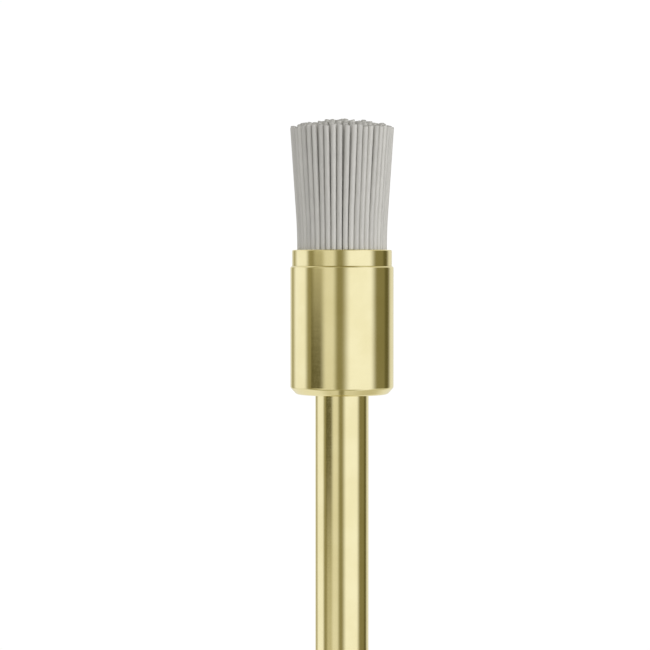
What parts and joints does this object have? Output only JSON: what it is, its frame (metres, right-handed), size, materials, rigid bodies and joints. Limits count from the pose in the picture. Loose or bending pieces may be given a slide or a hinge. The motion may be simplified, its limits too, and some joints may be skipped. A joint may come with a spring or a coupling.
{
  "type": "dental polishing brush",
  "caption": "Rotary polishing brush: a straight bundle of stiff nylon bristles in a gold ferrule, on a round latch-type shank for a right-angle handpiece.",
  "frame": {"origin": "on the axis, at the ferrule's flat underside, where the bare shank begins", "axes": "+Z along the axis towards the bristle tips, so the shank points to -Z; the latch end's flat faces +X"},
  "size_m": [0.0046, 0.0046, 0.0279],
  "materials": {
    "shank": "gold finish, fine turned",
    "ferrule": "gold finish, polished",
    "bristle": "grey nylon filled with fine abrasive, satin",
    "fused_butt": "melted nylon"
  },
  "bodies": {
    "brush_body": {"shank": "shank", "ferrule": "ferrule", "fused_butt": "fused_butt", "bristle_roots": "bristle", "centre_bristle": "bristle"},
    "outer_row_tuft_01": {"outer_row_tuft_01": "bristle"},
    "outer_row_tuft_02": {"outer_row_tuft_02": "bristle"},
    "outer_row_tuft_03": {"outer_row_tuft_03": "bristle"},
    "outer_row_tuft_04": {"outer_row_tuft_04": "bristle"},
    "outer_row_tuft_05": {"outer_row_tuft_05": "bristle"},
    "outer_row_tuft_06": {"outer_row_tuft_06": "bristle"},
    "outer_row_tuft_07": {"outer_row_tuft_07": "bristle"},
    "outer_row_tuft_08": {"outer_row_tuft_08": "bristle"},
    "outer_row_tuft_09": {"outer_row_tuft_09": "bristle"},
    "outer_row_tuft_10": {"outer_row_tuft_10": "bristle"},
    "outer_row_tuft_11": {"outer_row_tuft_11": "bristle"},
    "outer_row_tuft_12": {"outer_row_tuft_12": "bristle"},
    "outer_row_tuft_13": {"outer_row_tuft_13": "bristle"},
    "outer_row_tuft_14": {"outer_row_tuft_14": "bristle"},
    "outer_row_tuft_15": {"outer_row_tuft_15": "bristle"},
    "outer_row_tuft_16": {"outer_row_tuft_16": "bristle"},
    "second_row_tuft_01": {"second_row_tuft_01": "bristle"},
    "second_row_tuft_02": {"second_row_tuft_02": "bristle"},
    "second_row_tuft_03": {"second_row_tuft_03": "bristle"},
    "second_row_tuft_04": {"second_row_tuft_04": "bristle"},
    "second_row_tuft_05": {"second_row_tuft_05": "bristle"},
    "second_row_tuft_06": {"second_row_tuft_06": "bristle"},
    "second_row_tuft_07": {"second_row_tuft_07": "bristle"},
    "second_row_tuft_08": {"second_row_tuft_08": "bristle"},
    "third_row_tuft_01": {"third_row_tuft_01": "bristle"},
    "third_row_tuft_02": {"third_row_tuft_02": "bristle"},
    "third_row_tuft_03": {"third_row_tuft_03": "bristle"},
    "third_row_tuft_04": {"third_row_tuft_04": "bristle"},
    "third_row_tuft_05": {"third_row_tuft_05": "bristle"},
    "third_row_tuft_06": {"third_row_tuft_06": "bristle"},
    "third_row_tuft_07": {"third_row_tuft_07": "bristle"},
    "third_row_tuft_08": {"third_row_tuft_08": "bristle"},
    "fourth_row_tuft_01": {"fourth_row_tuft_01": "bristle"},
    "fourth_row_tuft_02": {"fourth_row_tuft_02": "bristle"},
    "fourth_row_tuft_03": {"fourth_row_tuft_03": "bristle"},
    "fourth_row_tuft_04": {"fourth_row_tuft_04": "bristle"},
    "fourth_row_tuft_05": {"fourth_row_tuft_05": "bristle"},
    "fourth_row_tuft_06": {"fourth_row_tuft_06": "bristle"},
    "fourth_row_tuft_07": {"fourth_row_tuft_07": "bristle"},
    "fourth_row_tuft_08": {"fourth_row_tuft_08": "bristle"},
    "fifth_row_tuft_01": {"fifth_row_tuft_01": "bristle"},
    "fifth_row_tuft_02": {"fifth_row_tuft_02": "bristle"},
    "fifth_row_tuft_03": {"fifth_row_tuft_03": "bristle"},
    "fifth_row_tuft_04": {"fifth_row_tuft_04": "bristle"},
    "fifth_row_tuft_05": {"fifth_row_tuft_05": "bristle"},
    "sixth_row_tuft_01": {"sixth_row_tuft_01": "bristle"},
    "sixth_row_tuft_02": {"sixth_row_tuft_02": "bristle"},
    "sixth_row_tuft_03": {"sixth_row_tuft_03": "bristle"},
    "sixth_row_tuft_04": {"sixth_row_tuft_04": "bristle"},
    "inner_row_tuft_01": {"inner_row_tuft_01": "bristle"},
    "inner_row_tuft_02": {"inner_row_tuft_02": "bristle"},
    "inner_row_tuft_03": {"inner_row_tuft_03": "bristle"}
  },
  "joints": [
    {"name": "bristle_splay", "type": "hinge", "parent": "brush_body", "child": "outer_row_tuft_01", "pos_m": [0.00194, 0.00039, 0.00636], "axis": [-0.1951, 0.9808, 0], "range_deg": [0, 15], "stiffness_Nm_per_rad": 0.0000021},
    {"name": "outer_row_tuft_02_splay", "type": "hinge", "parent": "brush_body", "child": "outer_row_tuft_02", "pos_m": [0.00164, 0.0011, 0.00636], "axis": [-0.5556, 0.8315, 0], "range_deg": [0, 15], "stiffness_Nm_per_rad": 0.0000021},
    {"name": "outer_row_tuft_03_splay", "type": "hinge", "parent": "brush_body", "child": "outer_row_tuft_03", "pos_m": [0.0011, 0.00164, 0.00636], "axis": [-0.8315, 0.5556, 0], "range_deg": [0, 15], "stiffness_Nm_per_rad": 0.0000021},
    {"name": "outer_row_tuft_04_splay", "type": "hinge", "parent": "brush_body", "child": "outer_row_tuft_04", "pos_m": [0.00039, 0.00194, 0.00636], "axis": [-0.9808, 0.1951, 0], "range_deg": [0, 15], "stiffness_Nm_per_rad": 0.0000021},
    {"name": "outer_row_tuft_05_splay", "type": "hinge", "parent": "brush_body", "child": "outer_row_tuft_05", "pos_m": [-0.00039, 0.00194, 0.00636], "axis": [-0.9808, -0.1951, 0], "range_deg": [0, 15], "stiffness_Nm_per_rad": 0.0000021},
    {"name": "outer_row_tuft_06_splay", "type": "hinge", "parent": "brush_body", "child": "outer_row_tuft_06", "pos_m": [-0.0011, 0.00164, 0.00636], "axis": [-0.8315, -0.5556, 0], "range_deg": [0, 15], "stiffness_Nm_per_rad": 0.0000021},
    {"name": "outer_row_tuft_07_splay", "type": "hinge", "parent": "brush_body", "child": "outer_row_tuft_07", "pos_m": [-0.00164, 0.0011, 0.00636], "axis": [-0.5556, -0.8315, 0], "range_deg": [0, 15], "stiffness_Nm_per_rad": 0.0000021},
    {"name": "outer_row_tuft_08_splay", "type": "hinge", "parent": "brush_body", "child": "outer_row_tuft_08", "pos_m": [-0.00194, 0.00039, 0.00636], "axis": [-0.1951, -0.9808, 0], "range_deg": [0, 15], "stiffness_Nm_per_rad": 0.0000021},
    {"name": "outer_row_tuft_09_splay", "type": "hinge", "parent": "brush_body", "child": "outer_row_tuft_09", "pos_m": [-0.00194, -0.00039, 0.00636], "axis": [0.1951, -0.9808, 0], "range_deg": [0, 15], "stiffness_Nm_per_rad": 0.0000021},
    {"name": "outer_row_tuft_10_splay", "type": "hinge", "parent": "brush_body", "child": "outer_row_tuft_10", "pos_m": [-0.00164, -0.0011, 0.00636], "axis": [0.5556, -0.8315, 0], "range_deg": [0, 15], "stiffness_Nm_per_rad": 0.0000021},
    {"name": "outer_row_tuft_11_splay", "type": "hinge", "parent": "brush_body", "child": "outer_row_tuft_11", "pos_m": [-0.0011, -0.00164, 0.00636], "axis": [0.8315, -0.5556, 0], "range_deg": [0, 15], "stiffness_Nm_per_rad": 0.0000021},
    {"name": "outer_row_tuft_12_splay", "type": "hinge", "parent": "brush_body", "child": "outer_row_tuft_12", "pos_m": [-0.00039, -0.00194, 0.00636], "axis": [0.9808, -0.1951, 0], "range_deg": [0, 15], "stiffness_Nm_per_rad": 0.0000021},
    {"name": "outer_row_tuft_13_splay", "type": "hinge", "parent": "brush_body", "child": "outer_row_tuft_13", "pos_m": [0.00039, -0.00194, 0.00636], "axis": [0.9808, 0.1951, 0], "range_deg": [0, 15], "stiffness_Nm_per_rad": 0.0000021},
    {"name": "outer_row_tuft_14_splay", "type": "hinge", "parent": "brush_body", "child": "outer_row_tuft_14", "pos_m": [0.0011, -0.00164, 0.00636], "axis": [0.8315, 0.5556, 0], "range_deg": [0, 15], "stiffness_Nm_per_rad": 0.0000021},
    {"name": "outer_row_tuft_15_splay", "type": "hinge", "parent": "brush_body", "child": "outer_row_tuft_15", "pos_m": [0.00164, -0.0011, 0.00636], "axis": [0.5556, 0.8315, 0], "range_deg": [0, 15], "stiffness_Nm_per_rad": 0.0000021},
    {"name": "outer_row_tuft_16_splay", "type": "hinge", "parent": "brush_body", "child": "outer_row_tuft_16", "pos_m": [0.00194, -0.00039, 0.00636], "axis": [0.1951, 0.9808, 0], "range_deg": [0, 15], "stiffness_Nm_per_rad": 0.0000021},
    {"name": "second_row_tuft_01_splay", "type": "hinge", "parent": "brush_body", "child": "second_row_tuft_01", "pos_m": [0.00158, 0.00066, 0.00636], "axis": [-0.3827, 0.9239, 0], "range_deg": [0, 12.86], "stiffness_Nm_per_rad": 0.0000035},
    {"name": "second_row_tuft_02_splay", "type": "hinge", "parent": "brush_body", "child": "second_row_tuft_02", "pos_m": [0.00066, 0.00158, 0.00636], "axis": [-0.9239, 0.3827, 0], "range_deg": [0, 12.86], "stiffness_Nm_per_rad": 0.0000035},
    {"name": "second_row_tuft_03_splay", "type": "hinge", "parent": "brush_body", "child": "second_row_tuft_03", "pos_m": [-0.00066, 0.00158, 0.00636], "axis": [-0.9239, -0.3827, 0], "range_deg": [0, 12.86], "stiffness_Nm_per_rad": 0.0000035},
    {"name": "second_row_tuft_04_splay", "type": "hinge", "parent": "brush_body", "child": "second_row_tuft_04", "pos_m": [-0.00158, 0.00066, 0.00636], "axis": [-0.3827, -0.9239, 0], "range_deg": [0, 12.86], "stiffness_Nm_per_rad": 0.0000035},
    {"name": "second_row_tuft_05_splay", "type": "hinge", "parent": "brush_body", "child": "second_row_tuft_05", "pos_m": [-0.00158, -0.00066, 0.00636], "axis": [0.3827, -0.9239, 0], "range_deg": [0, 12.86], "stiffness_Nm_per_rad": 0.0000035},
    {"name": "second_row_tuft_06_splay", "type": "hinge", "parent": "brush_body", "child": "second_row_tuft_06", "pos_m": [-0.00066, -0.00158, 0.00636], "axis": [0.9239, -0.3827, 0], "range_deg": [0, 12.86], "stiffness_Nm_per_rad": 0.0000035},
    {"name": "second_row_tuft_07_splay", "type": "hinge", "parent": "brush_body", "child": "second_row_tuft_07", "pos_m": [0.00066, -0.00158, 0.00636], "axis": [0.9239, 0.3827, 0], "range_deg": [0, 12.86], "stiffness_Nm_per_rad": 0.0000035},
    {"name": "second_row_tuft_08_splay", "type": "hinge", "parent": "brush_body", "child": "second_row_tuft_08", "pos_m": [0.00158, -0.00066, 0.00636], "axis": [0.3827, 0.9239, 0], "range_deg": [0, 12.86], "stiffness_Nm_per_rad": 0.0000035},
    {"name": "third_row_tuft_01_splay", "type": "hinge", "parent": "brush_body", "child": "third_row_tuft_01", "pos_m": [0.00134, 0.00055, 0.00636], "axis": [-0.3827, 0.9239, 0], "range_deg": [0, 10.71], "stiffness_Nm_per_rad": 0.0000028},
    {"name": "third_row_tuft_02_splay", "type": "hinge", "parent": "brush_body", "child": "third_row_tuft_02", "pos_m": [0.00055, 0.00134, 0.00636], "axis": [-0.9239, 0.3827, 0], "range_deg": [0, 10.71], "stiffness_Nm_per_rad": 0.0000028},
    {"name": "third_row_tuft_03_splay", "type": "hinge", "parent": "brush_body", "child": "third_row_tuft_03", "pos_m": [-0.00055, 0.00134, 0.00636], "axis": [-0.9239, -0.3827, 0], "range_deg": [0, 10.71], "stiffness_Nm_per_rad": 0.0000028},
    {"name": "third_row_tuft_04_splay", "type": "hinge", "parent": "brush_body", "child": "third_row_tuft_04", "pos_m": [-0.00134, 0.00055, 0.00636], "axis": [-0.3827, -0.9239, 0], "range_deg": [0, 10.71], "stiffness_Nm_per_rad": 0.0000028},
    {"name": "third_row_tuft_05_splay", "type": "hinge", "parent": "brush_body", "child": "third_row_tuft_05", "pos_m": [-0.00134, -0.00055, 0.00636], "axis": [0.3827, -0.9239, 0], "range_deg": [0, 10.71], "stiffness_Nm_per_rad": 0.0000028},
    {"name": "third_row_tuft_06_splay", "type": "hinge", "parent": "brush_body", "child": "third_row_tuft_06", "pos_m": [-0.00055, -0.00134, 0.00636], "axis": [0.9239, -0.3827, 0], "range_deg": [0, 10.71], "stiffness_Nm_per_rad": 0.0000028},
    {"name": "third_row_tuft_07_splay", "type": "hinge", "parent": "brush_body", "child": "third_row_tuft_07", "pos_m": [0.00055, -0.00134, 0.00636], "axis": [0.9239, 0.3827, 0], "range_deg": [0, 10.71], "stiffness_Nm_per_rad": 0.0000028},
    {"name": "third_row_tuft_08_splay", "type": "hinge", "parent": "brush_body", "child": "third_row_tuft_08", "pos_m": [0.00134, -0.00055, 0.00636], "axis": [0.3827, 0.9239, 0], "range_deg": [0, 10.71], "stiffness_Nm_per_rad": 0.0000028},
    {"name": "fourth_row_tuft_01_splay", "type": "hinge", "parent": "brush_body", "child": "fourth_row_tuft_01", "pos_m": [0.00109, 0.00045, 0.00636], "axis": [-0.3827, 0.9239, 0], "range_deg": [0, 8.57], "stiffness_Nm_per_rad": 0.0000021},
    {"name": "fourth_row_tuft_02_splay", "type": "hinge", "parent": "brush_body", "child": "fourth_row_tuft_02", "pos_m": [0.00045, 0.00109, 0.00636], "axis": [-0.9239, 0.3827, 0], "range_deg": [0, 8.57], "stiffness_Nm_per_rad": 0.0000021},
    {"name": "fourth_row_tuft_03_splay", "type": "hinge", "parent": "brush_body", "child": "fourth_row_tuft_03", "pos_m": [-0.00045, 0.00109, 0.00636], "axis": [-0.9239, -0.3827, 0], "range_deg": [0, 8.57], "stiffness_Nm_per_rad": 0.0000021},
    {"name": "fourth_row_tuft_04_splay", "type": "hinge", "parent": "brush_body", "child": "fourth_row_tuft_04", "pos_m": [-0.00109, 0.00045, 0.00636], "axis": [-0.3827, -0.9239, 0], "range_deg": [0, 8.57], "stiffness_Nm_per_rad": 0.0000021},
    {"name": "fourth_row_tuft_05_splay", "type": "hinge", "parent": "brush_body", "child": "fourth_row_tuft_05", "pos_m": [-0.00109, -0.00045, 0.00636], "axis": [0.3827, -0.9239, 0], "range_deg": [0, 8.57], "stiffness_Nm_per_rad": 0.0000021},
    {"name": "fourth_row_tuft_06_splay", "type": "hinge", "parent": "brush_body", "child": "fourth_row_tuft_06", "pos_m": [-0.00045, -0.00109, 0.00636], "axis": [0.9239, -0.3827, 0], "range_deg": [0, 8.57], "stiffness_Nm_per_rad": 0.0000021},
    {"name": "fourth_row_tuft_07_splay", "type": "hinge", "parent": "brush_body", "child": "fourth_row_tuft_07", "pos_m": [0.00045, -0.00109, 0.00636], "axis": [0.9239, 0.3827, 0], "range_deg": [0, 8.57], "stiffness_Nm_per_rad": 0.0000021},
    {"name": "fourth_row_tuft_08_splay", "type": "hinge", "parent": "brush_body", "child": "fourth_row_tuft_08", "pos_m": [0.00109, -0.00045, 0.00636], "axis": [0.3827, 0.9239, 0], "range_deg": [0, 8.57], "stiffness_Nm_per_rad": 0.0000021},
    {"name": "fifth_row_tuft_01_splay", "type": "hinge", "parent": "brush_body", "child": "fifth_row_tuft_01", "pos_m": [0.00074, 0.00054, 0.00636], "axis": [-0.5878, 0.809, 0], "range_deg": [0, 6.43], "stiffness_Nm_per_rad": 0.0000028},
    {"name": "fifth_row_tuft_02_splay", "type": "hinge", "parent": "brush_body", "child": "fifth_row_tuft_02", "pos_m": [-0.00028, 0.00087, 0.00636], "axis": [-0.9511, -0.309, 0], "range_deg": [0, 6.43], "stiffness_Nm_per_rad": 0.0000028},
    {"name": "fifth_row_tuft_03_splay", "type": "hinge", "parent": "brush_body", "child": "fifth_row_tuft_03", "pos_m": [-0.00091, 0, 0.00636], "axis": [0, -1, 0], "range_deg": [0, 6.43], "stiffness_Nm_per_rad": 0.0000028},
    {"name": "fifth_row_tuft_04_splay", "type": "hinge", "parent": "brush_body", "child": "fifth_row_tuft_04", "pos_m": [-0.00028, -0.00087, 0.00636], "axis": [0.9511, -0.309, 0], "range_deg": [0, 6.43], "stiffness_Nm_per_rad": 0.0000028},
    {"name": "fifth_row_tuft_05_splay", "type": "hinge", "parent": "brush_body", "child": "fifth_row_tuft_05", "pos_m": [0.00074, -0.00054, 0.00636], "axis": [0.5878, 0.809, 0], "range_deg": [0, 6.43], "stiffness_Nm_per_rad": 0.0000028},
    {"name": "sixth_row_tuft_01_splay", "type": "hinge", "parent": "brush_body", "child": "sixth_row_tuft_01", "pos_m": [0.00046, 0.00046, 0.00636], "axis": [-0.7071, 0.7071, 0], "range_deg": [0, 4.29], "stiffness_Nm_per_rad": 0.0000021},
    {"name": "sixth_row_tuft_02_splay", "type": "hinge", "parent": "brush_body", "child": "sixth_row_tuft_02", "pos_m": [-0.00046, 0.00046, 0.00636], "axis": [-0.7071, -0.7071, 0], "range_deg": [0, 4.29], "stiffness_Nm_per_rad": 0.0000021},
    {"name": "sixth_row_tuft_03_splay", "type": "hinge", "parent": "brush_body", "child": "sixth_row_tuft_03", "pos_m": [-0.00046, -0.00046, 0.00636], "axis": [0.7071, -0.7071, 0], "range_deg": [0, 4.29], "stiffness_Nm_per_rad": 0.0000021},
    {"name": "sixth_row_tuft_04_splay", "type": "hinge", "parent": "brush_body", "child": "sixth_row_tuft_04", "pos_m": [0.00046, -0.00046, 0.00636], "axis": [0.7071, 0.7071, 0], "range_deg": [0, 4.29], "stiffness_Nm_per_rad": 0.0000021},
    {"name": "inner_row_tuft_01_splay", "type": "hinge", "parent": "brush_body", "child": "inner_row_tuft_01", "pos_m": [0.00019, 0.00033, 0.00636], "axis": [-0.866, 0.5, 0], "range_deg": [0, 2.14], "stiffness_Nm_per_rad": 0.0000014},
    {"name": "inner_row_tuft_02_splay", "type": "hinge", "parent": "brush_body", "child": "inner_row_tuft_02", "pos_m": [-0.00038, 0, 0.00636], "axis": [0, -1, 0], "range_deg": [0, 2.14], "stiffness_Nm_per_rad": 0.0000014},
    {"name": "inner_row_tuft_03_splay", "type": "hinge", "parent": "brush_body", "child": "inner_row_tuft_03", "pos_m": [0.00019, -0.00033, 0.00636], "axis": [0.866, 0.5, 0], "range_deg": [0, 2.14], "stiffness_Nm_per_rad": 0.0000014}
  ],
  "couplings": [
    {"joint": "outer_row_tuft_02_splay", "follows": "bristle_splay", "ratio": 1},
    {"joint": "outer_row_tuft_03_splay", "follows": "bristle_splay", "ratio": 1},
    {"joint": "outer_row_tuft_04_splay", "follows": "bristle_splay", "ratio": 1},
    {"joint": "outer_row_tuft_05_splay", "follows": "bristle_splay", "ratio": 1},
    {"joint": "outer_row_tuft_06_splay", "follows": "bristle_splay", "ratio": 1},
    {"joint": "outer_row_tuft_07_splay", "follows": "bristle_splay", "ratio": 1},
    {"joint": "outer_row_tuft_08_splay", "follows": "bristle_splay", "ratio": 1},
    {"joint": "outer_row_tuft_09_splay", "follows": "bristle_splay", "ratio": 1},
    {"joint": "outer_row_tuft_10_splay", "follows": "bristle_splay", "ratio": 1},
    {"joint": "outer_row_tuft_11_splay", "follows": "bristle_splay", "ratio": 1},
    {"joint": "outer_row_tuft_12_splay", "follows": "bristle_splay", "ratio": 1},
    {"joint": "outer_row_tuft_13_splay", "follows": "bristle_splay", "ratio": 1},
    {"joint": "outer_row_tuft_14_splay", "follows": "bristle_splay", "ratio": 1},
    {"joint": "outer_row_tuft_15_splay", "follows": "bristle_splay", "ratio": 1},
    {"joint": "outer_row_tuft_16_splay", "follows": "bristle_splay", "ratio": 1},
    {"joint": "second_row_tuft_01_splay", "follows": "bristle_splay", "ratio": 0.85714},
    {"joint": "second_row_tuft_02_splay", "follows": "bristle_splay", "ratio": 0.85714},
    {"joint": "second_row_tuft_03_splay", "follows": "bristle_splay", "ratio": 0.85714},
    {"joint": "second_row_tuft_04_splay", "follows": "bristle_splay", "ratio": 0.85714},
    {"joint": "second_row_tuft_05_splay", "follows": "bristle_splay", "ratio": 0.85714},
    {"joint": "second_row_tuft_06_splay", "follows": "bristle_splay", "ratio": 0.85714},
    {"joint": "second_row_tuft_07_splay", "follows": "bristle_splay", "ratio": 0.85714},
    {"joint": "second_row_tuft_08_splay", "follows": "bristle_splay", "ratio": 0.85714},
    {"joint": "third_row_tuft_01_splay", "follows": "bristle_splay", "ratio": 0.71429},
    {"joint": "third_row_tuft_02_splay", "follows": "bristle_splay", "ratio": 0.71429},
    {"joint": "third_row_tuft_03_splay", "follows": "bristle_splay", "ratio": 0.71429},
    {"joint": "third_row_tuft_04_splay", "follows": "bristle_splay", "ratio": 0.71429},
    {"joint": "third_row_tuft_05_splay", "follows": "bristle_splay", "ratio": 0.71429},
    {"joint": "third_row_tuft_06_splay", "follows": "bristle_splay", "ratio": 0.71429},
    {"joint": "third_row_tuft_07_splay", "follows": "bristle_splay", "ratio": 0.71429},
    {"joint": "third_row_tuft_08_splay", "follows": "bristle_splay", "ratio": 0.71429},
    {"joint": "fourth_row_tuft_01_splay", "follows": "bristle_splay", "ratio": 0.57143},
    {"joint": "fourth_row_tuft_02_splay", "follows": "bristle_splay", "ratio": 0.57143},
    {"joint": "fourth_row_tuft_03_splay", "follows": "bristle_splay", "ratio": 0.57143},
    {"joint": "fourth_row_tuft_04_splay", "follows": "bristle_splay", "ratio": 0.57143},
    {"joint": "fourth_row_tuft_05_splay", "follows": "bristle_splay", "ratio": 0.57143},
    {"joint": "fourth_row_tuft_06_splay", "follows": "bristle_splay", "ratio": 0.57143},
    {"joint": "fourth_row_tuft_07_splay", "follows": "bristle_splay", "ratio": 0.57143},
    {"joint": "fourth_row_tuft_08_splay", "follows": "bristle_splay", "ratio": 0.57143},
    {"joint": "fifth_row_tuft_01_splay", "follows": "bristle_splay", "ratio": 0.42857},
    {"joint": "fifth_row_tuft_02_splay", "follows": "bristle_splay", "ratio": 0.42857},
    {"joint": "fifth_row_tuft_03_splay", "follows": "bristle_splay", "ratio": 0.42857},
    {"joint": "fifth_row_tuft_04_splay", "follows": "bristle_splay", "ratio": 0.42857},
    {"joint": "fifth_row_tuft_05_splay", "follows": "bristle_splay", "ratio": 0.42857},
    {"joint": "sixth_row_tuft_01_splay", "follows": "bristle_splay", "ratio": 0.28571},
    {"joint": "sixth_row_tuft_02_splay", "follows": "bristle_splay", "ratio": 0.28571},
    {"joint": "sixth_row_tuft_03_splay", "follows": "bristle_splay", "ratio": 0.28571},
    {"joint": "sixth_row_tuft_04_splay", "follows": "bristle_splay", "ratio": 0.28571},
    {"joint": "inner_row_tuft_01_splay", "follows": "bristle_splay", "ratio": 0.14286},
    {"joint": "inner_row_tuft_02_splay", "follows": "bristle_splay", "ratio": 0.14286},
    {"joint": "inner_row_tuft_03_splay", "follows": "bristle_splay", "ratio": 0.14286}
  ]
}
